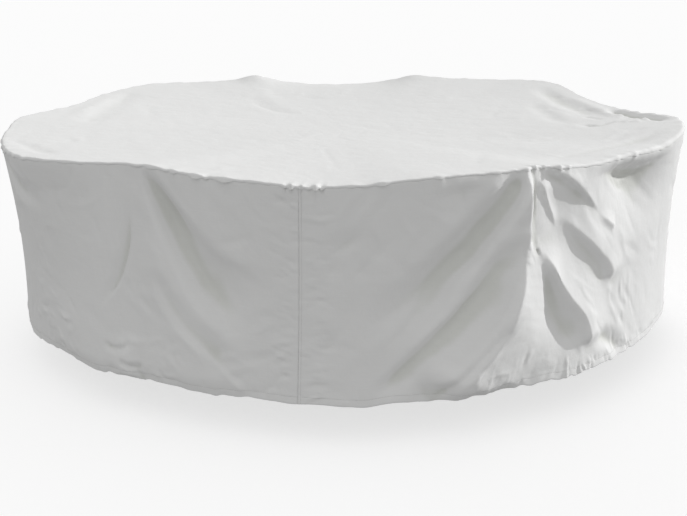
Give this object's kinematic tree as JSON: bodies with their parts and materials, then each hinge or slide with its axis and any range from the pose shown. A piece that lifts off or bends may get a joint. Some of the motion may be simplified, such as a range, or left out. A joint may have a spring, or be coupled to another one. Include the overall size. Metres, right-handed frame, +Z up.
{
  "type": "garden furniture cover",
  "caption": "Large oval fitted cloth cover, open below, draped in slanting folds from a rim that sags between raised shoulders.",
  "frame": {"origin": "middle of the top panel's underside, where what the cover lies on holds it up", "axes": "+X along the cover's long side to the right as seen from the front, +Y from front to back, +Z up"},
  "size_m": [2.7092, 2.1031, 0.8009],
  "materials": {
    "cover_cloth": "matt coated woven polyester, light grey"
  },
  "bodies": {
    "root": {"top_panel": "cover_cloth", "skirt_left": "cover_cloth", "skirt_right": "cover_cloth"}
  },
  "joints": []
}
